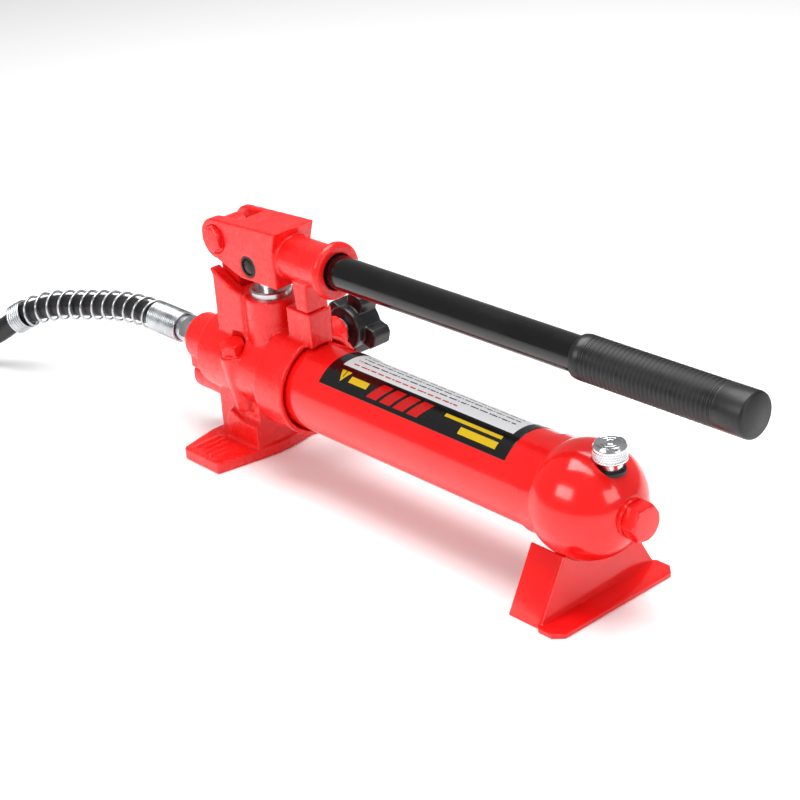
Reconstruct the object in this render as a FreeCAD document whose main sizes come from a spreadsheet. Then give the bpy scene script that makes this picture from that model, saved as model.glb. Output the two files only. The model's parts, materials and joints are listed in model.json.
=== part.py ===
import FreeCAD, Part
import math
import os
import re

import Sketcher
from FreeCAD import Placement, Rotation, Vector

# Two-footed hydraulic hand pump: a cast pump block with a vertical plunger, a horizontal oil tank
# clamped to it by one long bolt, a lever socket with a removable handle, and a high-pressure hose.
# Frame: +X runs from the pump block along the tank, +Z is up, and the origin is the middle of the
# pump block's sole on the floor.

doc = FreeCAD.newDocument("HydraulicHandPump")

# ---------------------------------------------------------------- driving sizes, millimetres, degrees

SIZES = [
    # tank
    ("tank_height", 65.0, "height of the tank axis over the floor"),
    ("tank_radius", 30.0, "outer radius of the tank tube"),
    ("tank_wall", 2.5, "wall of the tank tube"),
    ("tank_start", 56.0, "pump end of the tank tube"),
    ("tank_end", 295.0, "far end of the tank tube"),
    ("seal_thick", 2.0, "thickness of the flat seal at each end of the tank"),
    ("tank_fit", 0.1, "clearance between the tank tube and its seats"),
    ("label_start", 97.5, "start of the label along the tank"),
    ("label_end", 267.0, "end of the label along the tank"),
    ("label_thick", 0.25, "thickness of the label"),
    ("label_angle", 110.0, "angle that the label wraps"),
    # end cap, tie bolt, filler
    ("cap_start", 283.0, "start of the end cap's skirt"),
    ("cap_lip_radius", 31.4, "radius of the skirt's edge"),
    ("dome_centre", 311.5, "centre of the cap's dome along X"),
    ("dome_radius", 36.8, "outer radius of the dome"),
    ("cap_face", 346.0, "flat on the dome under the bolt's washer"),
    ("bolt_radius", 7.0, "radius of the tie bolt"),
    ("bolt_flats", 21.5, "across the flats of the tie bolt's head"),
    ("bolt_head", 10.0, "thickness of the tie bolt's head"),
    ("washer_thick", 2.6, "thickness of the tie bolt's washer"),
    ("washer_radius", 12.2, "radius of the tie bolt's washer"),
    ("bolt_start", 38.0, "inner end of the tie bolt"),
    ("filler_x", 331.0, "filler axis along X"),
    ("filler_floor", 90.0, "bottom of the filler recess"),
    ("filler_recess", 9.3, "radius of the filler recess"),
    ("filler_shank", 7.75, "radius of the filler cap's shank"),
    ("filler_lip", 98.0, "underside of the filler cap's head"),
    ("filler_top", 108.9, "top of the filler cap"),
    ("filler_head", 10.5, "radius of the filler cap's head"),
    # rear foot
    ("sheet_thick", 3.0, "sheet of the rear foot"),
    ("foot_half", 52.0, "half width of both feet"),
    ("web_front", 318.0, "front face of the rear foot's web"),
    ("foot_front", 334.7, "front edge of the rear foot"),
    ("foot_back", 291.0, "back edge of the rear foot's side flanges"),
    ("web_base", 49.5, "half width of the web at the floor"),
    ("web_top", 28.0, "half width of the web at its top"),
    ("web_height", 40.0, "height of the web"),
    # pump block
    ("plunger_x", 26.0, "plunger axis along X"),
    ("plunger_radius", 7.5, "radius of the plunger"),
    ("tower_radius", 18.0, "radius of the plunger tower"),
    ("tower_top", 120.0, "top of the plunger tower"),
    ("gland_radius", 14.0, "radius of the gland nut's flange"),
    ("gland_bore", 11.0, "radius of the gland's thread"),
    ("gland_top", 125.0, "top of the gland nut"),
    ("ring_start", 41.0, "back of the tank ring"),
    ("ring_end", 70.0, "rim of the tank ring"),
    ("ring_radius", 35.0, "outer radius of the tank ring"),
    ("groove_radius", 31.5, "radius of the groove at the ring's mouth"),
    ("ear_half", 17.0, "half width of the ears and of the lever's cheeks"),
    ("slot_half", 8.3, "half width of the slots that hold the link"),
    ("port_end", -57.0, "face of the hose port boss"),
    ("port_radius", 17.5, "radius of the hose port boss"),
    ("plug_x", 7.0, "side plug's seat along X"),
    ("plug_y", -22.0, "side plug's seat along Y"),
    ("plug_z", 78.5, "side plug's seat height"),
    ("plug_lean", 8.0, "lean of the side plug from upright"),
    ("plug_bore", 5.5, "radius of the side plug's hole"),
    ("relief_x", 57.0, "relief valve axis along X"),
    ("relief_y", 15.5, "relief valve axis along Y"),
    ("relief_top", 112.5, "top of the relief valve boss"),
    ("relief_bore", 4.0, "radius of the relief valve's hole"),
    ("knob_x", 49.0, "release needle axis along X"),
    ("knob_z", 86.0, "release needle axis height"),
    ("knob_start", 40.0, "inner face of the release knob's skirt"),
    ("needle_radius", 4.0, "radius of the release needle"),
    ("stop_top", 120.4, "top of the stop block"),
    # lever
    ("fulcrum_x", -7.4, "fulcrum axis along X"),
    ("fulcrum_z", 155.9, "fulcrum axis height"),
    ("fulcrum_radius", 6.0, "radius of the fulcrum bolt"),
    ("pin_z", 144.1, "plunger pin height at rest"),
    ("pin_radius", 6.0, "radius of the plunger pin"),
    ("link_x", -5.0, "link pin along X"),
    ("link_z", 113.0, "link pin height"),
    ("link_pin_radius", 5.0, "radius of the link pin"),
    ("running_fit", 0.05, "radial clearance of a turning or sliding fit"),
    ("handle_z", 152.9, "handle axis height over the plunger axis"),
    ("handle_tilt", 0.94, "rise of the handle from level"),
    ("socket_radius", 15.0, "outer radius of the handle socket"),
    ("collar_radius", 19.2, "radius of the socket's flared mouth"),
    ("socket_mouth", 73.4, "mouth of the socket along the handle axis"),
    ("socket_bore", 12.0, "radius of the socket's bore"),
    ("socket_floor", 34.0, "bottom of the socket's bore"),
    ("handle_radius", 11.2, "radius of the handle tube"),
    ("handle_wall", 2.0, "wall of the handle tube"),
    ("handle_start", 35.0, "inner end of the handle tube"),
    ("handle_end", 405.0, "outer end of the handle tube"),
    ("grip_start", 286.0, "start of the grip"),
    ("grip_end", 411.6, "end of the grip"),
    ("grip_radius", 13.8, "radius of the grip"),
    # hose and its fittings
    ("hose_radius", 8.0, "radius of the hose"),
    ("hose_start", -98.0, "end of the near ferrule, where the hose comes out"),
    ("nut_start", -62.0, "port side of the hose nut"),
    ("nut_end", -74.0, "hose side of the hose nut"),
    ("nut_flats", 19.0, "across the flats of the hose nut"),
    ("ferrule_radius", 9.4, "radius of the hose ferrules"),
    ("guard_start", -78.0, "port end of the spring guard"),
    ("guard_radius", 11.5, "outer radius of the spring guard"),
    ("guard_bore", 9.7, "inner radius of the spring guard"),
    ("coil_x", -403.0, "centre of the put-away coil along X"),
    ("coil_y", -80.0, "centre of the put-away coil along Y"),
    ("coil_radius", 84.0, "radius of the coil at the middle of its turns"),
    ("tail_end", 3.0, "end of the hose along Y, after the coil"),
    ("far_ferrule_length", 17.0, "length of the ferrule at the coupler"),
    ("coupler_height", 15.2, "height of the coupler's axis as it lies on the floor"),
    ("collar_length", 30.0, "length of the coupler's turning collar"),
    ("coupler_radius", 15.0, "radius of the coupler's turning collar"),
    ("coupler_bore", 11.0, "radius of the thread inside the collar"),
]

sheet = doc.addObject("Spreadsheet::Sheet", "Sizes")
for row, (alias, value, meaning) in enumerate(SIZES, start=1):
    sheet.set(f"A{row}", alias)
    sheet.set(f"B{row}", str(value))
    sheet.set(f"C{row}", meaning)
    sheet.setAlias(f"B{row}", alias)
doc.recompute()

ALIAS = re.compile(r"\b(" + "|".join(alias for alias, _value, _meaning in SIZES) + r")\b")


def from_sheet(text):
    """The expression with each alias pointing at the sheet."""
    return ALIAS.sub(r"Sizes.\1", str(text))


def size(text):
    """The number that an expression on the sheet gives now."""
    value = sheet.evalExpression(from_sheet(text))
    return float(getattr(value, "Value", value))


def place(obj, at, turn):
    """Bind an object's position to the sheet and set its turn."""
    obj.Placement = Placement(Vector(*[size(part) for part in at]), turn)
    for letter, part in zip("xyz", at):
        obj.setExpression(f"Placement.Base.{letter}", from_sheet(part))


# turns that carry a part made along +Z to another direction
ALONG = {
    "+X": Rotation(Vector(0, 1, 0), 90),
    "-X": Rotation(Vector(0, 1, 0), -90),
    "+Y": Rotation(Vector(1, 0, 0), -90),
    "-Y": Rotation(Vector(1, 0, 0), 90),
    "+Z": Rotation(),
    "-Z": Rotation(Vector(1, 0, 0), 180),
}


def heading(along):
    """The turn for a named direction, or the turn itself."""
    return ALONG[along] if isinstance(along, str) else along


HANDLE = Rotation(Vector(0, 1, 0), 90 - size("handle_tilt"))
PLUG = Rotation(Vector(1, 0, 0), size("plug_lean"))
HANDLE_ORIGIN = ("plunger_x", 0, "handle_z")

# a profile standing in the XZ plane, its thickness running toward -Y
UPRIGHT = Rotation(Vector(1, 0, 0), 90)

nodes = []


def node(label, obj):
    """Name a finished piece; its label is its file's name."""
    obj.Label = label
    nodes.append(obj)
    return obj


# ---------------------------------------------------------------- builders


def cylinder(radius, height, at, along="+Z"):
    obj = doc.addObject("Part::Cylinder", "Cylinder")
    obj.setExpression("Radius", from_sheet(radius))
    obj.setExpression("Height", from_sheet(height))
    place(obj, at, heading(along))
    return obj


def cone(radius, radius_far, height, at, along):
    obj = doc.addObject("Part::Cone", "Cone")
    obj.setExpression("Radius1", from_sheet(radius))
    obj.setExpression("Radius2", from_sheet(radius_far))
    obj.setExpression("Height", from_sheet(height))
    place(obj, at, along)
    return obj


def ball(radius, at, along="+Z"):
    obj = doc.addObject("Part::Sphere", "Ball")
    obj.setExpression("Radius", from_sheet(radius))
    place(obj, at, heading(along))
    return obj


def block(low, high):
    """A box between two corners."""
    obj = doc.addObject("Part::Box", "Block")
    for name, first, last in zip(("Length", "Width", "Height"), low, high):
        obj.setExpression(name, from_sheet(f"({last}) - ({first})"))
    place(obj, low, Rotation())
    return obj


def fuse(*pieces):
    obj = doc.addObject("Part::MultiFuse", "Joined")
    obj.Shapes = list(pieces)
    return obj


def cut(base, *tools):
    obj = doc.addObject("Part::Cut", "Shaped")
    obj.Base = base
    obj.Tool = tools[0] if len(tools) == 1 else fuse(*tools)
    return obj


def common(base, tool):
    obj = doc.addObject("Part::Common", "Trimmed")
    obj.Base = base
    obj.Tool = tool
    return obj


def outline(body, plane_role, points):
    """A closed sketch through points given as pairs of sheet expressions."""
    plane = [part for part in body.Origin.OriginFeatures if part.Role == plane_role][0]
    sketch = body.newObject("Sketcher::SketchObject", "Outline")
    sketch.AttachmentSupport = (plane, [""])
    sketch.MapMode = "FlatFace"
    spots = [Vector(size(across), size(up), 0) for across, up in points]
    count = len(spots)
    for side in range(count):
        sketch.addGeometry(Part.LineSegment(spots[side], spots[(side + 1) % count]), False)
    for side in range(count):
        sketch.addConstraint(Sketcher.Constraint("Coincident", side, 2, (side + 1) % count, 1))
    for side, corner in enumerate(points):
        for kind, text in zip(("DistanceX", "DistanceY"), corner):
            number = sketch.addConstraint(Sketcher.Constraint(kind, -1, 1, side, 1, size(text)))
            sketch.setExpression(f"Constraints[{number}]", from_sheet(text))
    return sketch


def turned(points, at=(0, 0, 0), along="+Z", sweep=360):
    """A lathe part: points are (radius, height) pairs, turned about +Z, then set along a direction."""
    body = doc.addObject("PartDesign::Body", "Turned")
    sketch = outline(body, "XZ_Plane", points)
    turn = body.newObject("PartDesign::Revolution", "Turn")
    turn.Profile = sketch
    turn.ReferenceAxis = (sketch, ["V_Axis"])
    turn.setExpression("Angle", from_sheet(sweep))
    body.Tip = turn
    place(body, at, heading(along))
    return body


def extruded(points, depth, at=(0, 0, 0), along="+Z"):
    """A plate: points are (across, up) pairs in its own XY plane, as thick as depth along its +Z."""
    body = doc.addObject("PartDesign::Body", "Plate")
    sketch = outline(body, "XY_Plane", points)
    pad = body.newObject("PartDesign::Pad", "Pad")
    pad.Profile = sketch
    pad.setExpression("Length", from_sheet(depth))
    body.Tip = pad
    place(body, at, heading(along))
    return body


def tube(outer, inner, length, at, along):
    """A plain round sleeve."""
    corners = [(inner, 0), (outer, 0), (outer, length), (inner, length)]
    return turned(corners, at, along)


def hexagon(flats):
    """Corners of a hexagon by its size across flats."""
    corners = []
    for step in range(6):
        angle = math.radians(60 * step + 30)
        reach = f"({flats}) / 2 / {math.cos(math.radians(30)):.6f}"
        corners.append((f"{reach} * {math.cos(angle):.6f}", f"{reach} * {math.sin(angle):.6f}"))
    return corners


def hex_head(flats, thickness, at, along):
    """A hexagonal head with its outer corners turned down to a chamfer; the far face is chamfered."""
    prism = extruded(hexagon(flats), thickness, at, along)
    low = f"({flats}) / 2 * 0.96"
    wide = f"({flats}) / 2 * 1.2"
    trim = turned(
        [(0, 0), (wide, 0), (wide, f"({thickness}) - ({flats}) * 0.12"), (low, thickness), (0, thickness)],
        at,
        along,
    )
    return common(prism, trim)


# ---------------------------------------------------------------- tank, end cap and rear foot

SHELL = "tank_radius - tank_wall"


def make_tank():
    length = "tank_end - tank_start"
    at = ("tank_start", 0, "tank_height")
    node("reservoir_tube", tube("tank_radius", SHELL, length, at, "+X"))
    for label, start in (("front_tank_seal", "tank_start - seal_thick"), ("rear_tank_seal", "tank_end")):
        node(label, tube("tank_radius", SHELL, "seal_thick", (start, 0, "tank_height"), "+X"))


def make_label():
    """A printed wrap from the near side over the top of the tank."""
    inner = "tank_radius + 0.02"
    outer = "tank_radius + 0.02 + label_thick"
    length = "label_end - label_start"
    corners = [(inner, 0), (outer, 0), (outer, length), (inner, length)]
    far_edge = Rotation(Vector(0, 0, 1), 230 - size("label_angle"))
    turn = ALONG["+X"].multiply(far_edge)
    node("label_wrap", turned(corners, ("label_start", 0, "tank_height"), turn, "label_angle"))


def make_end_cap():
    """A thick domed cap with a socket for the tank, a bolt hole and a filler recess."""
    centre = ("dome_centre", 0, "tank_height")
    skirt = turned(
        [
            (0, 0),
            ("cap_lip_radius", 0),
            ("dome_radius - 2.2", 12),
            ("dome_radius", "dome_centre - cap_start"),
            (0, "dome_centre - cap_start"),
        ],
        ("cap_start", 0, "tank_height"),
        "+X",
    )
    whole = fuse(skirt, ball("dome_radius", centre, "+X"))
    start = ("cap_start", 0, "tank_height")
    faced = common(whole, cylinder("dome_radius + 1", "cap_face - cap_start", start, "+X"))
    hollow = fuse(
        cylinder("tank_radius + tank_fit", "tank_end + seal_thick - cap_start", start, "+X"),
        cylinder(SHELL, "dome_centre - cap_start", start, "+X"),
        ball(SHELL, centre, "+X"),
        cylinder("bolt_radius + 0.2", "cap_face - dome_centre + 1", centre, "+X"),
        cylinder("filler_recess", 30, ("filler_x", 0, "filler_floor")),
        cylinder("filler_shank + 0.1", 30, ("filler_x", 0, "filler_floor - 20")),
        cylinder("filler_head + 0.4", 20, ("filler_x", 0, "filler_lip - 0.4")),
    )
    node("end_cap", cut(faced, hollow))


def make_tie_bolt():
    """One long bolt from the end cap through the oil to the pump block."""
    seat = ("cap_face + washer_thick", 0, "tank_height")
    shank_start = ("bolt_start", 0, "tank_height")
    shank = cylinder("bolt_radius", "cap_face + washer_thick - bolt_start", shank_start, "+X")
    node("tie_bolt", fuse(shank, hex_head("bolt_flats", "bolt_head", seat, "+X")))
    washer_at = ("cap_face", 0, "tank_height")
    node("tie_bolt_washer", tube("washer_radius", "bolt_radius + 0.1", "washer_thick", washer_at, "+X"))


def make_filler():
    """A knurled screw cap that is also the breather, with a ring seal in the recess."""
    at = ("filler_x", 0, 0)
    head_edge = "filler_head - 0.8"
    cap = turned(
        [
            (0, "filler_floor - 10"),
            ("filler_shank", "filler_floor - 10"),
            ("filler_shank", "filler_lip"),
            ("filler_head", "filler_lip"),
            ("filler_head", "filler_top - 1.6"),
            (head_edge, "filler_top - 0.6"),
            (0, "filler_top"),
        ],
        at,
    )
    node("filler_cap", cap)
    seal_at = ("filler_x", 0, "filler_floor")
    node("filler_seal", tube("filler_recess - 0.1", "filler_shank + running_fit", "seal_thick", seal_at, "+Z"))


def make_rear_foot():
    """Folded sheet: an upright web under the dome, a flange forward on the floor, two side flanges back."""
    web = extruded(
        [
            ("-web_base", 0),
            ("web_base", 0),
            ("web_base", 2),
            ("web_top", "web_height"),
            ("-web_top", "web_height"),
            ("-web_base", 2),
        ],
        "sheet_thick",
        ("web_front - sheet_thick", 0, 0),
        Rotation(Vector(1, 1, 1), 120),
    )
    sole = extruded(
        [
            ("web_front - sheet_thick", "-web_base"),
            ("web_front - sheet_thick", "web_base"),
            ("web_front", "foot_half"),
            ("foot_front - 6", "foot_half"),
            ("foot_front", "foot_half - 6"),
            ("foot_front", "6 - foot_half"),
            ("foot_front - 6", "-foot_half"),
            ("web_front", "-foot_half"),
        ],
        "sheet_thick",
    )
    flanges = []
    for side in (-1, 1):
        flange = extruded(
            [
                (f"{side} * web_base", 0),
                (f"{side} * web_top", "web_height"),
                (f"{side} * (web_top - sheet_thick)", "web_height"),
                (f"{side} * (web_base - sheet_thick)", 0),
            ],
            "web_front - foot_back",
            ("foot_back", 0, 0),
            Rotation(Vector(1, 1, 1), 120),
        )
        flanges.append(flange)
    dome_seat = ball("dome_radius + 0.02", ("dome_centre", 0, "tank_height"), "+X")
    skirt_seat = cylinder("dome_radius + 0.02", "dome_centre - cap_start", ("cap_start", 0, "tank_height"), "+X")
    node("rear_foot", cut(fuse(web, sole, *flanges), dome_seat, skirt_seat))


# ---------------------------------------------------------------- pump block


def make_pump_body():
    """The casting: foot, neck, tank ring, plunger tower, ears for the link, and the valve bosses."""
    foot = extruded(
        [(-24, -50), (-22, "-foot_half"), (15, "-foot_half"), (23, -6), (23, 6), (15, "foot_half"),
         (-22, "foot_half"), (-24, 50), (-31, 20), (-31, -20)],
        8,
    )
    ribs = []
    for side in (-1, 1):
        for step in range(5):
            start = -18 + 6 * step
            ribs.append(block((start, f"{side} * 37 - 12", 7.5), (start + 2.5, f"{side} * 37 + 12", 8.8)))
    neck = block((-24, -16, 4), (20, 16, 50))
    lug = extruded(
        [(-20, 6), (0, 6), (0, 30), (-12, 30), (-20, 24)], 16.5, (3.5, 0, 0), Rotation(Vector(1, 1, 1), 120)
    )
    lug_block = extruded([(-13, 6), (3.5, 6), (3.5, 25), (-8, 30), (-13, 25)], 20, (0, 0, 0), UPRIGHT)
    barrel = cylinder(28, "ring_end - 4 + 30", (-30, 0, "tank_height"), "+X")
    ring = cylinder("ring_radius", "ring_end - ring_start", ("ring_start", 0, "tank_height"), "+X")
    tower = cylinder("tower_radius", "tower_top - tank_height", ("plunger_x", 0, "tank_height"))
    ears = extruded(
        [(-14.8, "tank_height"), (-14.8, 128), (-17.8, 132.5), (-16, 133), (2.3, 124), (14, 121),
         (14, "tank_height")],
        "2 * ear_half",
        (0, "ear_half", 0),
        UPRIGHT,
    )
    port = cylinder("port_radius", 60, ("port_end", 0, "tank_height"), "+X")
    port_skirt = block(("port_end", -14, 46), (0, 14, "tank_height"))
    lower_boss = cylinder(12, 60, ("port_end - 2", 0, 38), "+X")
    plug_column = cone(10.6, 7, 44, ("plug_x", "plug_y", "plug_z"), PLUG.multiply(ALONG["-Z"]))
    stop_block = block((52, -9, 88), (76, 9, "stop_top"))
    relief_boss = cylinder(7.5, "relief_top - 85", ("relief_x", "relief_y", 85))
    knob_boss = cylinder(11, 36, ("knob_x", 0, "knob_z"), "+Y")
    casting = fuse(
        foot, *ribs, neck, lug_block, lug, barrel, ring, tower, ears, port, port_skirt, lower_boss,
        plug_column, stop_block, relief_boss, knob_boss,
    )
    drillings = [
        cylinder("plunger_radius + running_fit", 80, ("plunger_x", 0, 60)),
        cylinder("gland_bore + 0.05", 20, ("plunger_x", 0, "tower_top - 12")),
        cylinder("gland_radius + 0.1", 10, ("plunger_x", 0, "tower_top")),
        cylinder(5, 9, ("plunger_x", 0, 52)),
        cylinder(2.5, 10, ("plunger_x", 0, 44)),
        cylinder(2.5, 34, ("plunger_x", 0, 44), "+X"),
        cylinder(2.5, 24, (3, 0, 63.5), "+X"),
        cylinder(2.2, 24, ("plug_x", -22, 63.5), "+Y"),
        cylinder(4, 60, ("port_end - 1", 0, "tank_height"), "+X"),
        cylinder(7.05, 14, ("port_end - 1", 0, "tank_height"), "+X"),
        cylinder("bolt_radius + 0.05", 20, ("bolt_start - 1", 0, "tank_height"), "+X"),
        cylinder("tank_radius + tank_fit", 40, ("tank_start - seal_thick", 0, "tank_height"), "+X"),
        cylinder("groove_radius", 40, ("ring_end - 6", 0, "tank_height"), "+X"),
        cylinder("plug_bore + 0.05", 26, ("plug_x", "plug_y", "plug_z"), PLUG.multiply(ALONG["-Z"])),
        cylinder(9.3, 12, ("plug_x", "plug_y", "plug_z"), PLUG),
        block((-25, "-slot_half", 100), (6.5, "slot_half", 140)),
        cylinder("link_pin_radius + 0.02", 40, ("link_x", -13, "link_z"), "+Y"),
        cylinder("relief_bore", 40, ("relief_x", "relief_y", 93)),
        cylinder("needle_radius + running_fit", 40, ("knob_x", 8, "knob_z"), "+Y"),
        cylinder(6.1, 20, ("knob_x", 28, "knob_z"), "+Y"),
    ]
    node("pump_body", cut(casting, *drillings))


def make_gland():
    """Seal ring and threaded gland nut round the plunger."""
    rod = "plunger_radius + running_fit"
    seal_at = ("plunger_x", 0, "tower_top - 12")
    node("plunger_seal", tube("gland_bore", rod, 5, seal_at, "+Z"))
    nut = turned(
        [
            (rod, "tower_top - 6.8"),
            ("gland_bore", "tower_top - 6.8"),
            ("gland_bore", "tower_top"),
            ("gland_radius", "tower_top"),
            ("gland_radius", "gland_top - 1"),
            ("gland_radius - 1", "gland_top"),
            (rod, "gland_top"),
        ],
        ("plunger_x", 0, 0),
    )
    node("gland_nut", nut)


def make_plunger():
    """Round rod with a forged eye; the eye is slotted along X for the pin's sideways swing."""
    rod = cylinder("plunger_radius", "pin_z - 8 - 62", ("plunger_x", 0, 62))
    eye = block(("plunger_x - 10.2", -5.5, "pin_z - 9.5"), ("plunger_x + 12.2", 5.5, "pin_z + 9.5"))
    hole = "pin_radius + 0.25"
    slot = [
        cylinder(hole, 20, ("plunger_x - 0.35", -10, "pin_z"), "+Y"),
        cylinder(hole, 20, ("plunger_x + 2.15", -10, "pin_z"), "+Y"),
        block(("plunger_x - 0.35", -10, f"pin_z - ({hole})"), ("plunger_x + 2.15", 10, f"pin_z + {hole}")),
    ]
    node("plunger", cut(fuse(rod, eye), *slot))


def make_valves():
    """Suction, discharge and overload valves, each a ball on a drilled seat."""
    suction_ball = "52 + 3.1225"
    node("suction_ball", ball(4, ("plunger_x", 0, suction_ball)))
    lean = math.radians(size("plug_lean"))
    down = Vector(0, math.sin(lean), -math.cos(lean))
    plug_seat = Vector(size("plug_x"), size("plug_y"), size("plug_z"))

    def along_plug(depth):
        spot = plug_seat + down * depth
        return (f"{spot.x:.4f}", f"{spot.y:.4f}", f"{spot.z:.4f}")

    node("discharge_ball", ball(3.5, along_plug(22.4)))
    node("discharge_spring", tube(4.5, 3.2, 8.5, along_plug(17.5), PLUG))
    shank = cylinder("plug_bore", 10, along_plug(8.5), PLUG)
    node("side_plug", fuse(shank, hex_head(16, 7, along_plug(-1.5), PLUG)))
    node("side_plug_washer", tube(9, "plug_bore + 0.1", 1.5, along_plug(0), PLUG))
    relief = ("relief_x", "relief_y")
    node("relief_ball", ball(2.5, (*relief, 95.6)))
    node("relief_spring", tube(3.6, 2.4, 5.5, (*relief, 98.8), "+Z"))
    screw = cylinder("relief_bore - 0.02", 7, (*relief, "relief_top - 8"))
    hex_socket = extruded(hexagon(4), 4, (*relief, "relief_top - 5"))
    node("relief_screw", cut(screw, hex_socket))
    cap = turned([(0, 0), (5.6, 0), (5.6, 8.5), (4.6, 10), (0, 10.6)], (*relief, "relief_top"))
    node("relief_cap", cap)


def make_release():
    """Needle, packing ring and nut, and a four-lobed knob on the far side."""
    axis = ("knob_x", 0, "knob_z")
    needle = turned(
        [
            (0, 8.5),
            ("needle_radius", 13),
            ("needle_radius", "knob_start + 12"),
            (0, "knob_start + 12"),
        ],
        axis,
        "+Y",
    )
    node("release_needle", needle)
    bore = "needle_radius + running_fit"
    node("needle_packing", tube(6, bore, 3, ("knob_x", 28, "knob_z"), "+Y"))
    thread = tube(6, bore, 5, ("knob_x", 31, "knob_z"), "+Y")
    head = cut(
        hex_head(15, 3.6, ("knob_x", 36, "knob_z"), "+Y"),
        cylinder(bore, 20, ("knob_x", 30, "knob_z"), "+Y"),
    )
    node("packing_nut", fuse(thread, head))
    skirt = turned(
        [(0, "knob_start"), (14.3, "knob_start"), (15.3, "knob_start + 1"), (15.3, "knob_start + 6"),
         (0, "knob_start + 6")],
        axis,
        "+Y",
    )
    hub = cylinder(15, 16.5, ("knob_x", "knob_start + 5.5", "knob_z"), "+Y")
    lobes = []
    for quarter in range(4):
        angle = 90 * quarter - 16
        lobe = extruded(
            [(0, -6.5), (21, -7.5), (24, -4), (24, 4), (21, 7.5), (0, 6.5)],
            15,
            ("knob_x", "knob_start + 7", "knob_z"),
            ALONG["+Y"].multiply(Rotation(Vector(0, 0, 1), -angle)),
        )
        lobes.append(lobe)
    knob = cut(
        fuse(skirt, hub, *lobes),
        cylinder(bore, "12 + running_fit + 1", ("knob_x", "knob_start - 1", "knob_z"), "+Y"),
    )
    node("release_knob", knob)


# ---------------------------------------------------------------- lever, link and handle


def make_lever():
    """Cast lever: two cheeks and a top web round the link and plunger eye, and the handle socket."""
    cheeks = extruded(
        [("fulcrum_x", "fulcrum_z - 14.2"), (17.3, 134.2), (54.7, 135), (53.5, 161.7), (57.6, 174.5),
         (27.6, 172.5), ("fulcrum_x", "fulcrum_z + 14.2")],
        "2 * ear_half",
        (0, "ear_half", 0),
        UPRIGHT,
    )
    heel = cylinder(14.2, "2 * ear_half", ("fulcrum_x", "-ear_half", "fulcrum_z"), "+Y")
    socket = turned(
        [
            (0, 24),
            ("socket_radius", 24),
            ("socket_radius", "socket_mouth - 9"),
            ("collar_radius", "socket_mouth - 5"),
            ("collar_radius", "socket_mouth - 2"),
            ("collar_radius - 2", "socket_mouth"),
            (0, "socket_mouth"),
        ],
        HANDLE_ORIGIN,
        HANDLE,
    )
    lug = extruded([(62.5, 120.6), (74.5, 120.6), (74.5, 143), (60.5, 143)], 18, (0, 9, 0), UPRIGHT)
    bore = cylinder("socket_bore", 60, handle_spot("socket_floor"), HANDLE)
    hollow = [
        bore,
        block((-30, "-slot_half", 130), (48, "slot_half", 163)),
        block((-30, "-slot_half", 160), (11, 12, 180)),
        block((-30, "-slot_half", 130), (-1, 12, 180)),
        cylinder("fulcrum_radius + 0.02", 60, ("fulcrum_x", -30, "fulcrum_z"), "+Y"),
        cylinder(10, 10, ("fulcrum_x", "-ear_half - 8.5", "fulcrum_z"), "+Y"),
        cylinder("pin_radius + 0.02", 60, ("plunger_x", -30, "pin_z"), "+Y"),
        cylinder(7.6, 3, ("plunger_x", "-ear_half - 1.6", "pin_z"), "+Y"),
        cylinder(7.6, 3, ("plunger_x", "ear_half - 1.4", "pin_z"), "+Y"),
    ]
    node("lever_socket", cut(fuse(cheeks, heel, socket, lug), *hollow))


def handle_spot(reach):
    """A point on the handle axis, by its distance from the plunger axis."""
    tilt = math.radians(size("handle_tilt"))
    ahead = size(reach)
    return (
        f"plunger_x + {ahead * math.cos(tilt):.4f}",
        0,
        f"handle_z + {ahead * math.sin(tilt):.4f}",
    )


def make_pins():
    """Fulcrum bolt with washer and nut, plunger pin with its two clips, and the lower link pin."""
    bolt_at = ("fulcrum_x", "-ear_half + 0.1", "fulcrum_z")
    shank = cylinder("fulcrum_radius", "2 * ear_half + 9", bolt_at, "+Y")
    head = hex_head(16, 3.5, bolt_at, "-Y")
    node("fulcrum_bolt", fuse(shank, head))
    washer_at = ("fulcrum_x", "-ear_half + 0.1", "fulcrum_z")
    node("fulcrum_washer", tube(9.4, "fulcrum_radius + 0.02", 1.4, washer_at, "+Y"))
    nut_at = ("fulcrum_x", "ear_half", "fulcrum_z")
    nut = cut(hex_head(18, 7, nut_at, "+Y"), cylinder("fulcrum_radius + 0.02", 30, nut_at, "+Y"))
    node("fulcrum_nut", nut)
    pin_length = "2 * ear_half - 0.4"
    node("plunger_pin", cylinder("pin_radius", pin_length, ("plunger_x", "0.2 - ear_half", "pin_z"), "+Y"))
    clips = []
    for start in ("-ear_half + 0.3", "ear_half - 1.3"):
        clips.append(tube(7.4, "pin_radius + 0.02", 1, ("plunger_x", start, "pin_z"), "+Y"))
    node("pin_clips", fuse(*clips))
    pin = cylinder("link_pin_radius", "12.5 + ear_half", ("link_x", -12.5, "link_z"), "+Y")
    button = cylinder(7.5, 3, ("link_x", "ear_half", "link_z"), "+Y")
    node("link_pin", fuse(pin, button))


def make_link():
    """Short flat link from the ears up to the lever's fulcrum."""
    thick = 13.4
    face = -7.8
    lower = cylinder(9.3, thick, ("link_x", face, "link_z"), "+Y")
    upper = cylinder(12, thick, ("fulcrum_x", face, "fulcrum_z"), "+Y")
    web = extruded(
        [("link_x - 8", "link_z"), ("link_x + 8", "link_z"), ("fulcrum_x + 9", "fulcrum_z"),
         ("fulcrum_x - 9", "fulcrum_z")],
        thick,
        (0, face + thick, 0),
        UPRIGHT,
    )
    holes = [
        cylinder("link_pin_radius + running_fit", 40, ("link_x", -20, "link_z"), "+Y"),
        cylinder("fulcrum_radius + running_fit", 40, ("fulcrum_x", -20, "fulcrum_z"), "+Y"),
    ]
    node("link", cut(fuse(lower, upper, web), *holes))


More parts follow.
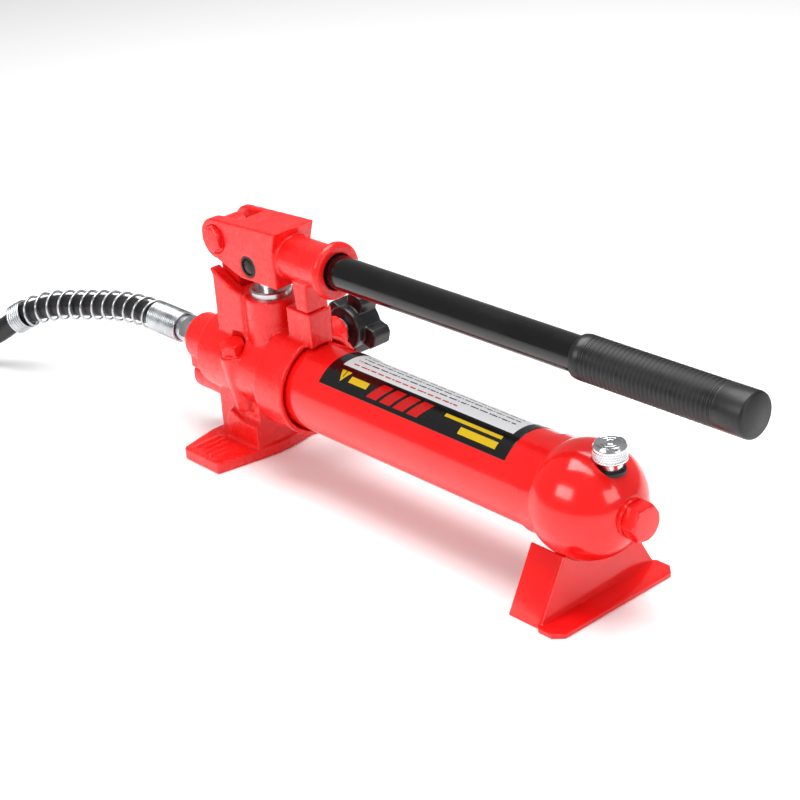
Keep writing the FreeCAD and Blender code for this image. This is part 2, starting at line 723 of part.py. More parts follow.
def make_handle():
    """Steel tube handle with a ribbed rubber grip."""
    length = "handle_end - handle_start"
    start = handle_spot("handle_start")
    node("handle_tube", tube("handle_radius", "handle_radius - handle_wall", length, start, HANDLE))
    grip = turned(
        [
            ("handle_radius + 0.02", 0),
            ("grip_radius", 0),
            ("grip_radius", "grip_end - grip_start - 2"),
            ("grip_radius - 2", "grip_end - grip_start"),
            (0, "grip_end - grip_start"),
            (0, "handle_end - grip_start + 0.02"),
            ("handle_radius + 0.02", "handle_end - grip_start + 0.02"),
        ],
        handle_spot("grip_start"),
        HANDLE,
    )
    node("handle_grip", grip)


# ---------------------------------------------------------------- hose

# where the hose runs before the put-away coil: out of the ferrule, down, and onto the floor
HOSE_ROUTE = [
    Vector(-98, 0, 65),
    Vector(-126, 0, 65),
    Vector(-155.5, -5, 63),
    Vector(-184, -13, 58),
    Vector(-213, -23, 54),
    Vector(-239.5, -35, 43.5),
    Vector(-262, -49, 24),
    Vector(-283, -64.3, 15),
    Vector(-301.7, -82.4, 8.8),
    Vector(-317.7, -102.9, 8),
]
# the coil winds clockwise seen from above, and climbs onto its first turn over this share of a turn
COIL_START_ANGLE = -32.0
COIL_END_ANGLE = -540.0
COIL_STEPS = 23
COIL_RISE_FROM = 0.68
COIL_RISE_TO = 0.91
# where it leaves the coil's top and comes down to its coupler
TAIL_ROUTE = [
    Vector(-487, -56, 24.3),
    Vector(-487.2, -35, 19.5),
    Vector(-487, -16, 15.2),
    Vector(-487, 3, 15.2),
]
# the spring guard follows the hose this many runs and arcs
GUARD_EDGES = 10
ARC_SHARE = 0.45


def coil_points():
    """Corners of the coil's turns: one turn on the floor, the rest on top of it."""
    step = (COIL_END_ANGLE - COIL_START_ANGLE) / COIL_STEPS
    reach = size("coil_radius") / math.cos(math.radians(step / 2))
    bore = size("hose_radius")
    points = []
    for number in range(COIL_STEPS):
        angle = math.radians(COIL_START_ANGLE + (number + 0.5) * step)
        share = (number + 0.5) * abs(step) / 360
        climb = min(max((share - COIL_RISE_FROM) / (COIL_RISE_TO - COIL_RISE_FROM), 0), 1)
        height = bore + (2 * bore + 0.4) * climb
        x = size("coil_x") + reach * math.cos(angle)
        y = size("coil_y") + reach * math.sin(angle)
        points.append(Vector(x, y, height))
    return points


def rounded_wire(points, label):
    """Straight runs joined by tangent arcs, each arc as large as its two runs allow."""
    edges = []
    radii = []
    at = points[0]
    for before, corner, after in zip(points, points[1:], points[2:]):
        back = (before - corner).normalize()
        ahead = (after - corner).normalize()
        reach = ARC_SHARE * min((before - corner).Length, (after - corner).Length)
        half_turn = (math.pi - back.getAngle(ahead)) / 2
        radius = reach / math.tan(half_turn)
        radii.append(radius)
        start = corner + back * reach
        end = corner + ahead * reach
        inward = (back + ahead).normalize()
        middle = corner + inward * (radius / math.cos(half_turn) - radius)
        edges.append(Part.LineSegment(at, start).toShape())
        edges.append(Part.Arc(start, middle, end).toShape())
        at = end
    edges.append(Part.LineSegment(at, points[-1]).toShape())
    wire = Part.Wire(edges)
    print(f"{label}: {wire.Length:.1f} mm, radii", " ".join(f"{radius:.0f}" for radius in radii))
    return wire


def swept(wire, outer, inner=0):
    """A round section carried along a wire, solid or hollow."""
    start = wire.Edges[0]
    heading = start.tangentAt(start.FirstParameter)
    solids = []
    for radius in (outer, inner):
        if radius:
            ring = Part.Wire([Part.makeCircle(radius, start.Vertexes[0].Point, heading)])
            solids.append(wire.makePipeShell([ring], True, True))
    whole = solids[0] if len(solids) == 1 else solids[0].cut(solids[1])
    section = math.pi * (outer**2 - inner**2)
    share = whole.Volume / (section * wire.Length)
    print(f"  volume over section times length: {share:.4f}")
    return whole


def shaped(label, shape):
    """A piece whose solid is worked out from the sheet by Part's own functions."""
    obj = doc.addObject("Part::Feature", "Shape")
    obj.Shape = shape
    obj.Placement = Placement()
    return node(label, obj)


def make_hose():
    """The hose up to the coil, the coil's outer shape, the tail after it, and the spring guard."""
    coil = coil_points()
    radius = size("hose_radius")
    lead = rounded_wire(HOSE_ROUTE + coil[:1], "hose before the coil")
    tail = rounded_wire(coil[-1:] + TAIL_ROUTE, "hose after the coil")
    rounded_wire(HOSE_ROUTE + coil + TAIL_ROUTE, "whole hose")
    shaped("hose", swept(lead, radius))
    shaped("hose_tail", swept(tail, radius))

    middle = size("coil_radius")
    top = 4 * radius + 0.4
    corner = radius * 0.45
    low = middle - radius
    high = middle + radius
    section = [
        (low + corner, 0), (high - corner, 0), (high, corner), (high, top - corner),
        (high - corner, top), (low + corner, top), (low, top - corner), (low, corner),
    ]
    node("hose_coil", turned(section, ("coil_x", "coil_y", 0)))

    guard_start = Vector(size("guard_start"), 0, size("tank_height"))
    along_hose = lead.OrderedEdges[:GUARD_EDGES]
    guard = Part.Wire([Part.LineSegment(guard_start, HOSE_ROUTE[0]).toShape(), *along_hose])
    shaped("spring_guard", swept(guard, size("guard_radius"), size("guard_bore")))


def make_fittings():
    """Port adapter, hose nut and ferrules, and the coupler half at the far end."""
    at = ("port_end", 0, "tank_height")
    adapter = fuse(
        cylinder(7, 12, at, "+X"),
        hex_head(19, "port_end - nut_start", at, "-X"),
    )
    node("hose_adapter", adapter)
    nut_at = ("nut_start", 0, "tank_height")
    node("hose_nut", hex_head("nut_flats", "nut_start - nut_end", nut_at, "-X"))
    ferrule_at = ("nut_end", 0, "tank_height")
    node("near_ferrule", cylinder("ferrule_radius", "nut_end - hose_start", ferrule_at, "-X"))

    def lying(reach):
        """A point on the coupler's axis, by its distance from the end of the hose."""
        return ("coil_x - coil_radius", f"tail_end + {reach}", "coupler_height")

    node("far_ferrule", cylinder("ferrule_radius", "far_ferrule_length", lying(0), "+Y"))
    body_at = lying("far_ferrule_length")
    shaft = turned([(0, 8), (9.95, 8), (9.95, 27), (7, 27), (7, 29), (0, 29)], body_at, "+Y")
    hexagonal = hex_head(22, 10, body_at, "+Y")
    bore = cylinder(3.15, 30, lying("far_ferrule_length + 8"), "+Y")
    node("coupler_body", cut(fuse(hexagonal, shaft), bore))
    node("coupler_spring", tube(3, 2.2, 7, lying("far_ferrule_length + 8"), "+Y"))
    node("coupler_poppet", cylinder(3.1, 11, lying("far_ferrule_length + 18"), "+Y"))
    collar = turned(
        [
            (10, 0), ("coupler_radius - 1", 0), ("coupler_radius", 1),
            ("coupler_radius", "collar_length - 1"), ("coupler_radius - 1", "collar_length"),
            ("coupler_bore", "collar_length"), ("coupler_bore", "collar_length - 13"),
            (10, "collar_length - 13"),
        ],
        lying("far_ferrule_length + 12"),
        "+Y",
    )
    node("coupler_collar", collar)


make_tank()
make_label()
make_end_cap()
make_tie_bolt()
make_filler()
make_rear_foot()
make_pump_body()
make_gland()
make_plunger()
make_valves()
make_release()
make_lever()
make_pins()
make_link()
make_handle()
make_hose()
make_fittings()
node("suction_strainer", tube(3.5, 2.4, 12, ("tank_start - seal_thick", 0, 44), "+X"))

doc.recompute()
for obj in doc.Objects:
    if "Invalid" in obj.State or "Error" in obj.State:
        raise RuntimeError(f"{obj.Name} ({obj.Label}) failed: {obj.State}")

os.makedirs("parts", exist_ok=True)
for obj in nodes:
    shape = obj.Shape
    if shape.isNull() or not shape.isValid() or shape.Volume <= 0:
        raise RuntimeError(f"{obj.Label} has no valid solid")
    shape.exportStep(f"parts/{obj.Label}.step")
print(len(nodes), "pieces written")
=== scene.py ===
import json
import math

import bmesh
import bpy
from mathutils import Matrix, Vector


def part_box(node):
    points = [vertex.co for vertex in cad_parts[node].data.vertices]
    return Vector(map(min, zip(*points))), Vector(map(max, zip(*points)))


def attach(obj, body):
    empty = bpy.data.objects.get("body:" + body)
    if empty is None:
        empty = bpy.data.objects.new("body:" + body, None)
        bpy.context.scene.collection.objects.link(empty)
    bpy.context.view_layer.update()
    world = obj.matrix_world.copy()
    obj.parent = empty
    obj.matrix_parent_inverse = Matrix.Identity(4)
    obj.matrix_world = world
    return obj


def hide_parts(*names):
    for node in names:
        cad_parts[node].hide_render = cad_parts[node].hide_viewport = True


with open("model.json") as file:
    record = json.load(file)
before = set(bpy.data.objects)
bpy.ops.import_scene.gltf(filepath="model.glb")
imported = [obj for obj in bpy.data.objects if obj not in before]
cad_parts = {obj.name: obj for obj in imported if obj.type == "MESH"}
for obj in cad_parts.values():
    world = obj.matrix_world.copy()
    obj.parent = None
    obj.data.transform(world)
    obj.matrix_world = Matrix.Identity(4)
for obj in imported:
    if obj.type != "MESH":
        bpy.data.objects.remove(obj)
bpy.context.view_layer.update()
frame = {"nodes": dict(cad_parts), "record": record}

# Hydraulic hand pump. Metres; +X from the pump block along the tank, +Z up, the release knob at +Y.

MM = 0.001

# ---------------------------------------------------------------- places on the object, metres

TANK_Z = 0.065
TANK_R = 0.030
LABEL = (0.0975, 0.267)
PLUNGER_X = 0.026
HANDLE_RISE = math.radians(0.94)
HANDLE_ORIGIN = Vector((PLUNGER_X, 0, 0.1529))
HANDLE_AXIS = Vector((math.cos(HANDLE_RISE), 0, math.sin(HANDLE_RISE)))
FILLER = Vector((0.331, 0, 0.090))
DOME_X = 0.3115
DOME_R = 0.0368
DOME_FLAT = 0.346
DOME_INSIDE_R = 0.0275
GRIP_START = 0.286
GRIP_LENGTH = 0.1256
GRIP_INSIDE_R = 0.01122

HOSE_R = 0.008
GUARD_R = 0.0115
GUARD_WIRE = 0.0010
GUARD_LENGTH = 0.1795
GUARD_START = Vector((-0.078, 0, TANK_Z))
# the guard's coils: close wound by the pump, open in between, close wound at the end
NEAR_COILS = 16
OPEN_COILS = 12
FAR_COILS = 6
FLOOR_HALF = 6.0
FLOOR_DROP = 0.0002

# ---------------------------------------------------------------- camera


def make_camera():
    azimuth, elevation, roll = (math.radians(turn) for turn in (49.53, 25.95, -4.51))
    back = Vector((
        math.sin(azimuth) * math.cos(elevation),
        -math.cos(azimuth) * math.cos(elevation),
        math.sin(elevation),
    ))
    right = (-back).cross(Vector((0, 0, 1))).normalized()
    up = right.cross(-back)
    across = math.cos(roll) * right + math.sin(roll) * up
    upward = -math.sin(roll) * right + math.cos(roll) * up
    data = bpy.data.cameras.new("camera")
    data.sensor_width = 36
    data.lens = 96.1
    data.clip_start = 0.05
    camera = bpy.data.objects.new("camera", data)
    bpy.context.scene.collection.objects.link(camera)
    turn = Matrix((across, upward, back)).transposed().to_4x4()
    camera.matrix_world = Matrix.Translation((1.07877, -0.7928, 0.67332)) @ turn
    bpy.context.scene.camera = camera


make_camera()

# ---------------------------------------------------------------- materials


def noise(tree, scale, detail=3.0, coords=None, roughness=0.5):
    node = tree.nodes.new("ShaderNodeTexNoise")
    node.inputs["Scale"].default_value = scale
    node.inputs["Detail"].default_value = detail
    node.inputs["Roughness"].default_value = roughness
    if coords is None:
        coords = tree.nodes.new("ShaderNodeTexCoord").outputs["Object"]
    tree.links.new(coords, node.inputs["Vector"])
    return node


def spread(tree, value, low, high, out_low, out_high):
    node = tree.nodes.new("ShaderNodeMapRange")
    node.inputs["From Min"].default_value = low
    node.inputs["From Max"].default_value = high
    node.inputs["To Min"].default_value = out_low
    node.inputs["To Max"].default_value = out_high
    tree.links.new(value, node.inputs["Value"])
    return node.outputs["Result"]


def blend(tree, factor, first, second):
    """Colour between two; each is a colour or a socket."""
    node = tree.nodes.new("ShaderNodeMix")
    node.data_type = "RGBA"
    tree.links.new(factor, node.inputs[0])
    for socket, value in ((node.inputs[6], first), (node.inputs[7], second)):
        if isinstance(value, tuple):
            socket.default_value = (*value, 1)
        else:
            tree.links.new(value, socket)
    return node.outputs[2]


def bumped(tree, shader, height, strength, distance, under=None):
    node = tree.nodes.new("ShaderNodeBump")
    node.inputs["Strength"].default_value = strength
    node.inputs["Distance"].default_value = distance
    tree.links.new(height, node.inputs["Height"])
    if under is not None:
        tree.links.new(under, node.inputs["Normal"])
    tree.links.new(node.outputs["Normal"], shader.inputs["Normal"])
    return node.outputs["Normal"]


def new_material(name, roughness=0.4, metallic=0.0, coat=0.0, specular=0.5):
    material = bpy.data.materials.new(name)
    material.use_nodes = True
    shader = material.node_tree.nodes["Principled BSDF"]
    shader.inputs["Roughness"].default_value = roughness
    shader.inputs["Metallic"].default_value = metallic
    shader.inputs["Coat Weight"].default_value = coat
    shader.inputs["Coat Roughness"].default_value = 0.08
    shader.inputs["Specular IOR Level"].default_value = specular
    return material, material.node_tree, shader


RED = (0.76, 0.0062, 0.0060)
# painted shade: the darker red that stands for the shade inside the casting's pits
RED_PIT_SHADE = (0.34, 0.0020, 0.0025)
RED_LIGHT = (0.84, 0.0100, 0.0095)


def red_paint():
    """Smooth gloss enamel with faint orange peel and dust."""
    material, tree, shader = new_material("red_enamel", 0.16, coat=0.25, specular=0.4)
    clouds = noise(tree, 18, 4)
    tint = blend(tree, spread(tree, clouds.outputs["Fac"], 0.35, 0.65, 0, 1), RED, RED_LIGHT)
    tree.links.new(tint, shader.inputs["Base Color"])
    smear = noise(tree, 60, 5)
    tree.links.new(
        spread(tree, smear.outputs["Fac"], 0.35, 0.75, 0.11, 0.24), shader.inputs["Roughness"])
    peel = noise(tree, 420, 1)
    bumped(tree, shader, peel.outputs["Fac"], 0.06, 0.0004)
    return material


def cast_paint():
    """The same enamel over a sand casting: grainy, with small pits given as darker spots of painted shade.
    """
    material, tree, shader = new_material("red_casting", 0.25, coat=0.2, specular=0.4)
    clouds = noise(tree, 35, 4)
    tint = blend(tree, spread(tree, clouds.outputs["Fac"], 0.35, 0.68, 0, 1), RED, RED_LIGHT)
    # painted shade: sparse small spots, darkened where pits would be, stand in for the shade inside them
    pits = tree.nodes.new("ShaderNodeTexVoronoi")
    pits.inputs["Scale"].default_value = 260
    tree.links.new(tree.nodes.new("ShaderNodeTexCoord").outputs["Object"], pits.inputs["Vector"])
    hole = spread(tree, pits.outputs["Distance"], 0.0, 0.16, 1, 0)
    sparse = spread(tree, noise(tree, 24, 2).outputs["Fac"], 0.56, 0.70, 0, 1)
    both = tree.nodes.new("ShaderNodeMath")
    both.operation = "MULTIPLY"
    tree.links.new(hole, both.inputs[0])
    tree.links.new(sparse, both.inputs[1])
    tint = blend(tree, both.outputs[0], tint, RED_PIT_SHADE)
    tree.links.new(tint, shader.inputs["Base Color"])
    rough = noise(tree, 90, 4)
    tree.links.new(
        spread(tree, rough.outputs["Fac"], 0.3, 0.7, 0.18, 0.36), shader.inputs["Roughness"])
    sand = noise(tree, 520, 4, roughness=0.62)
    waves = noise(tree, 130, 3)
    lower = bumped(tree, shader, waves.outputs["Fac"], 0.35, 0.0012)
    bumped(tree, shader, sand.outputs["Fac"], 0.42, 0.0006, lower)
    return material


def dark_oil_steel():
    material, tree, shader = new_material("oiled_steel", 0.3, metallic=0.7)
    clouds = noise(tree, 120, 4)
    tint = blend(tree, clouds.outputs["Fac"], (0.012, 0.011, 0.011), (0.05, 0.045, 0.042))
    tree.links.new(tint, shader.inputs["Base Color"])
    tree.links.new(
        spread(tree, clouds.outputs["Fac"], 0.3, 0.7, 0.2, 0.42), shader.inputs["Roughness"])
    bumped(tree, shader, noise(tree, 700, 2).outputs["Fac"], 0.1, 0.0002)
    return material


def metal(name, low, high, rough_low, rough_high, grain=(1, 1, 1), scratch=0.12):
    material, tree, shader = new_material(name, 0.3, metallic=1.0)
    coords = tree.nodes.new("ShaderNodeTexCoord").outputs["Object"]
    stretch = tree.nodes.new("ShaderNodeMapping")
    stretch.inputs["Scale"].default_value = grain
    tree.links.new(coords, stretch.inputs["Vector"])
    clouds = noise(tree, 90, 4, stretch.outputs["Vector"])
    tint = blend(tree, spread(tree, clouds.outputs["Fac"], 0.3, 0.7, 0, 1), low, high)
    tree.links.new(tint, shader.inputs["Base Color"])
    tree.links.new(
        spread(tree, clouds.outputs["Fac"], 0.3, 0.7, rough_low, rough_high),
        shader.inputs["Roughness"],
    )
    fine = noise(tree, 600, 3, stretch.outputs["Vector"])
    bumped(tree, shader, fine.outputs["Fac"], scratch, 0.0002)
    return material


def gloss_black():
    """Black enamel on the handle, with dust and a soft smear."""
    material, tree, shader = new_material("black_enamel", 0.14, coat=0.2, specular=0.4)
    dust = noise(tree, 900, 2)
    fleck = spread(tree, dust.outputs["Fac"], 0.70, 0.78, 0, 1)
    tint = blend(tree, fleck, (0.0016, 0.0016, 0.002), (0.03, 0.03, 0.033))
    tree.links.new(tint, shader.inputs["Base Color"])
    smear = noise(tree, 45, 4)
    tree.links.new(
        spread(tree, smear.outputs["Fac"], 0.35, 0.7, 0.10, 0.26), shader.inputs["Roughness"])
    bumped(tree, shader, noise(tree, 300, 1).outputs["Fac"], 0.05, 0.0003)
    return material


def rubber(name, dark, light, rough, scale=350, depth=0.25):
    material, tree, shader = new_material(name, rough, specular=0.45)
    clouds = noise(tree, 55, 5)
    tint = blend(tree, spread(tree, clouds.outputs["Fac"], 0.3, 0.75, 0, 1), dark, light)
    tree.links.new(tint, shader.inputs["Base Color"])
    tree.links.new(
        spread(tree, clouds.outputs["Fac"], 0.3, 0.7, rough - 0.08, rough + 0.1),
        shader.inputs["Roughness"],
    )
    bumped(tree, shader, noise(tree, scale, 3).outputs["Fac"], depth, 0.0003)
    return material


def orange_plastic():
    material, tree, shader = new_material("orange_plastic", 0.3)
    clouds = noise(tree, 80, 3)
    tint = blend(tree, clouds.outputs["Fac"], (0.85, 0.18, 0.02), (1.0, 0.30, 0.04))
    tree.links.new(tint, shader.inputs["Base Color"])
    shader.inputs["Subsurface Weight"].default_value = 0.15
    shader.inputs["Subsurface Scale"].default_value = 0.003
    bumped(tree, shader, noise(tree, 400, 2).outputs["Fac"], 0.08, 0.0003)
    return material


def printed_film():
    """Satin film whose print comes from the face's own colour."""
    material, tree, shader = new_material("label_print", 0.22, coat=0.3)
    ink = tree.nodes.new("ShaderNodeVertexColor")
    ink.layer_name = "ink"
    wear = spread(tree, noise(tree, 700, 4).outputs["Fac"], 0.70, 0.80, 0, 0.6)
    tint = blend(tree, wear, ink.outputs["Color"], (0.35, 0.33, 0.32))
    tree.links.new(tint, shader.inputs["Base Color"])
    bumped(tree, shader, noise(tree, 260, 2).outputs["Fac"], 0.05, 0.0003)
    return material


def floor_material():
    material, tree, shader = new_material("pale_floor", 0.55, specular=0.2)
    clouds = noise(tree, 3, 2)
    tint = blend(tree, clouds.outputs["Fac"], (0.955, 0.955, 0.96), (0.975, 0.975, 0.975))
    tree.links.new(tint, shader.inputs["Base Color"])
    return material


MATERIALS = {
    "red_gloss_paint": red_paint(),
    "red_cast_paint": cast_paint(),
    "black_gloss_paint": gloss_black(),
    "black_rubber": rubber("grip_rubber", (0.0045, 0.0045, 0.005), (0.010, 0.010, 0.011), 0.40),
    "hose_rubber": rubber("hose_rubber", (0.006, 0.006, 0.007), (0.016, 0.016, 0.017), 0.34, 260, 0.15),
    "seal_rubber": rubber("seal_rubber", (0.008, 0.008, 0.008), (0.02, 0.02, 0.02), 0.5),
    "black_plastic": rubber("black_plastic", (0.006, 0.006, 0.007), (0.014, 0.014, 0.015), 0.30, 500, 0.1),
    "zinc_plate": metal("zinc_plate", (0.42, 0.44, 0.46), (0.66, 0.68, 0.70), 0.22, 0.38),
    "chrome_plate": metal("chrome_plate", (0.62, 0.63, 0.65), (0.86, 0.87, 0.88), 0.10, 0.24, (1, 1, 3)),
    "ground_steel": metal("ground_steel", (0.50, 0.50, 0.51), (0.72, 0.72, 0.72), 0.10, 0.2, (1, 1, 6)),
    "blackened_steel": dark_oil_steel(),
    "brass": metal("brass", (0.55, 0.38, 0.12), (0.80, 0.60, 0.25), 0.2, 0.35),
    "orange_plastic": orange_plastic(),
    "label_film": printed_film(),
}


def paint(obj, slot):
    """Give an object one material, whatever slots it had."""
    obj.data.materials.clear()
    obj.data.materials.append(MATERIALS[slot])


# ---------------------------------------------------------------- mesh helpers


def new_object(name, data):
    obj = bpy.data.objects.new(name, data)
    bpy.context.scene.collection.objects.link(obj)
    return obj


def settle(obj, body, slot, *replaced):
    """Paint a piece, put it on its body, and let it stand for its CAD nodes."""
    paint(obj, slot)
    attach(obj, body)
    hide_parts(*replaced)
    return obj


def link_mesh(name, mesh, body, slot, *replaced):
    return settle(new_object(name, mesh), body, slot, *replaced)


def shade(mesh, angle=40):
    """Smooth shading, with edges sharper than the angle left crisp."""
    mesh.polygons.foreach_set("use_smooth", [True] * len(mesh.polygons))
    mesh.set_sharp_from_angle(angle=math.radians(angle))


def along_to(direction):
    """The turn that carries +Z to a direction, with a fixed roll."""
    return Vector(direction).to_track_quat("Z", "Y").to_matrix().to_4x4()


def finished(bm, name, at, along, angle=40):
    """A mesh from a bmesh made round +Z, set at a point and along a direction."""
    bmesh.ops.recalc_face_normals(bm, faces=bm.faces)
    bm.transform(Matrix.Translation(at) @ along_to(along))
    mesh = bpy.data.meshes.new(name)
    bm.to_mesh(mesh)
    bm.free()
    shade(mesh, angle)
    return mesh


def lathe_bm(profile, steps=96, reach=None):
    """Rings of (radius, height); a closed profile loops, an open one must end on the axis."""
    bm = bmesh.new()
    closed = profile[0] == profile[-1]
    points = profile[:-1] if closed else profile
    rings = []
    for radius, height in points:
        if radius == 0:
            rings.append([bm.verts.new((0, 0, height))])
            continue
        ring = []
        for step in range(steps):
            angle = 2 * math.pi * step / steps
            far = radius if reach is None else reach(radius, height, angle)
            ring.append(bm.verts.new((far * math.cos(angle), far * math.sin(angle), height)))
        rings.append(ring)
    pairs = list(zip(rings, rings[1:]))
    if closed:
        pairs.append((rings[-1], rings[0]))
    for low, high in pairs:
        for step in range(steps):
            after = (step + 1) % steps
            if len(low) == 1:
                corners = [low[0], high[after], high[step]]
            elif len(high) == 1:
                corners = [low[step], low[after], high[0]]
            else:
                corners = [low[step], low[after], high[after], high[step]]
            bm.faces.new(corners)
    return bm


def apply_modifiers(obj):
    """Bake an object's modifiers into a mesh of its own."""
    depsgraph = bpy.context.evaluated_depsgraph_get()
    mesh = bpy.data.meshes.new_from_object(obj.evaluated_get(depsgraph))
    obj.modifiers.clear()
    obj.data = mesh
    return mesh


def copy_of_node(name, node, join_flats=False):
    """A CAD node's shape as a new object, its corners welded."""
    bm = bmesh.new()
    bm.from_mesh(frame["nodes"][node].data)
    bmesh.ops.remove_doubles(bm, verts=bm.verts, dist=1e-6)
    if join_flats:
        bmesh.ops.dissolve_limit(bm, angle_limit=math.radians(1), verts=bm.verts, edges=bm.edges)
    mesh = bpy.data.meshes.new(name)
    bm.to_mesh(mesh)
    bm.free()
    return new_object(name, mesh)


def softened(name, node, body, slot, voxel, rounds):
    """A casting: the CAD shape with its edges and inner corners rounded as sand leaves them."""
    obj = copy_of_node(name, node)
    remesh = obj.modifiers.new("remesh", "REMESH")
    remesh.mode = "VOXEL"
    remesh.voxel_size = voxel
    smooth = obj.modifiers.new("smooth", "SMOOTH")
    smooth.factor = 0.5
    smooth.iterations = rounds
    apply_modifiers(obj)
    obj.data.polygons.foreach_set("use_smooth", [True] * len(obj.data.polygons))
    return settle(obj, body, slot, node)


def bevelled_copy(name, node, body, slot, width, segments=3):
    """A machined or folded piece: the CAD shape with a small round on its edges."""
    obj = copy_of_node(name, node, join_flats=True)
    bevel = obj.modifiers.new("bevel", "BEVEL")
    bevel.width = width
    bevel.segments = segments
    bevel.limit_method = "ANGLE"
    bevel.angle_limit = math.radians(35)
    apply_modifiers(obj)
    shade(obj.data, 35)
    return settle(obj, body, slot, node)


# ---------------------------------------------------------------- hose

HOSE_ROUTE = [
    (-98, 0, 65), (-126, 0, 65), (-155.5, -5, 63), (-184, -13, 58), (-213, -23, 54),
    (-239.5, -35, 43.5), (-262, -49, 24), (-283, -64.3, 15), (-301.7, -82.4, 8.8), (-317.7, -102.9, 8),
]
COIL_CENTRE = (-403, -80)
COIL_RADIUS = 84
COIL_START_ANGLE = -32.0
COIL_END_ANGLE = -540.0
COIL_STEPS = 23
COIL_RISE_FROM = 0.68
COIL_RISE_TO = 0.91
TAIL_ROUTE = [(-487, -56, 24.3), (-487.2, -35, 19.5), (-487, -16, 15.2), (-487, 3, 15.2)]


def coil_points():
    step = (COIL_END_ANGLE - COIL_START_ANGLE) / COIL_STEPS
    reach = COIL_RADIUS / math.cos(math.radians(step / 2))
    points = []
    for number in range(COIL_STEPS):
        angle = math.radians(COIL_START_ANGLE + (number + 0.5) * step)
        share = (number + 0.5) * abs(step) / 360
        climb = min(max((share - COIL_RISE_FROM) / (COIL_RISE_TO - COIL_RISE_FROM), 0), 1)
        points.append((
            COIL_CENTRE[0] + reach * math.cos(angle),
            COIL_CENTRE[1] + reach * math.sin(angle),
            8 + 16.4 * climb,
        ))
    return points


def nurbs(name, points, radius):
    curve = bpy.data.curves.new(name, "CURVE")
    curve.dimensions = "3D"
    curve.resolution_u = 8
    curve.bevel_depth = radius
    curve.bevel_resolution = 8
    spline = curve.splines.new("NURBS")
    spline.points.add(len(points) - 1)
    for spot, point in zip(spline.points, points):
        spot.co = (point[0] * MM, point[1] * MM, point[2] * MM, 1)
    spline.order_u = 3
    spline.use_endpoint_u = True
    return curve


def centre_line(points):
    """Points on the hose's own smooth line, close together, in metres."""
    obj = new_object("route", nurbs("route", points, 0))
    depsgraph = bpy.context.evaluated_depsgraph_get()
    mesh = bpy.data.meshes.new_from_object(obj.evaluated_get(depsgraph))
    line = [vertex.co.copy() for vertex in mesh.vertices]
    bpy.data.objects.remove(obj)
    bpy.data.meshes.remove(mesh)
    return line


class Path:
    """Distance along a line of points, with a steady sideways direction."""

    def __init__(self, line):
        self.line = line
        self.along = [0.0]
        for first, second in zip(line, line[1:]):
            self.along.append(self.along[-1] + (second - first).length)

    def at(self, distance):
        distance = min(max(distance, 0), self.along[-1] - 1e-6)
        index = max(i for i, reached in enumerate(self.along) if reached <= distance)
        index = min(index, len(self.line) - 2)
        first, second = self.line[index], self.line[index + 1]
        share = (distance - self.along[index]) / (self.along[index + 1] - self.along[index])
        tangent = (second - first).normalized()
        side = tangent.cross(Vector((0, 0, 1))).normalized()
        return first.lerp(second, share), side, side.cross(tangent).normalized()


def make_hose():
    route = HOSE_ROUTE + coil_points() + TAIL_ROUTE
    hose = new_object("hose_line", nurbs("hose_line", route, HOSE_R))
    hose.data.use_fill_caps = True
    settle(hose, "pump", "hose_rubber", "hose", "hose_coil", "hose_tail")
    return hose, Path([GUARD_START] + centre_line(route))


def make_guard(path):
    """The wire guard: close wound at both ends, open in between, as a swept round wire."""
    wire = GUARD_WIRE
    close = 2 * wire * 1.02
    open_pitch = (GUARD_LENGTH - 2 * wire - (NEAR_COILS + FAR_COILS) * close) / OPEN_COILS
    pitches = [close] * NEAR_COILS + [open_pitch] * OPEN_COILS + [close] * FAR_COILS
    reach = GUARD_R - wire
    per_turn = 28
    centres = []
    frames = []
    distance = wire
    for pitch in pitches:
        for step in range(per_turn):
            angle = 2 * math.pi * step / per_turn
            point, side, up = path.at(distance + pitch * step / per_turn)
            outward = side * math.cos(angle) + up * math.sin(angle)
            centres.append(point + outward * reach)
            frames.append(outward)
        distance += pitch
    bm = bmesh.new()
    around = 8
    rings = []
    count = len(centres)
    for index, (centre, outward) in enumerate(zip(centres, frames)):
        ahead = centres[min(index + 1, count - 1)] - centres[max(index - 1, 0)]
        cross = ahead.cross(outward).normalized()
        ring = []
        for step in range(around):
            angle = 2 * math.pi * step / around
            ring.append(bm.verts.new(
                centre + (outward * math.cos(angle) + cross * math.sin(angle)) * wire))
        rings.append(ring)
    for low, high in zip(rings, rings[1:]):
        for step in range(around):
            after = (step + 1) % around
            bm.faces.new([low[step], low[after], high[after], high[step]])
    bm.faces.new(rings[0][::-1])
    bm.faces.new(rings[-1])
    bmesh.ops.recalc_face_normals(bm, faces=bm.faces)
    mesh = bpy.data.meshes.new("guard_wire")
    bm.to_mesh(mesh)
    bm.free()
    shade(mesh, 60)
    return link_mesh("guard_wire", mesh, "pump", "zinc_plate", "spring_guard")


hose_line, hose_path = make_hose()
guard_wire = make_guard(hose_path)

# ---------------------------------------------------------------- light and floor


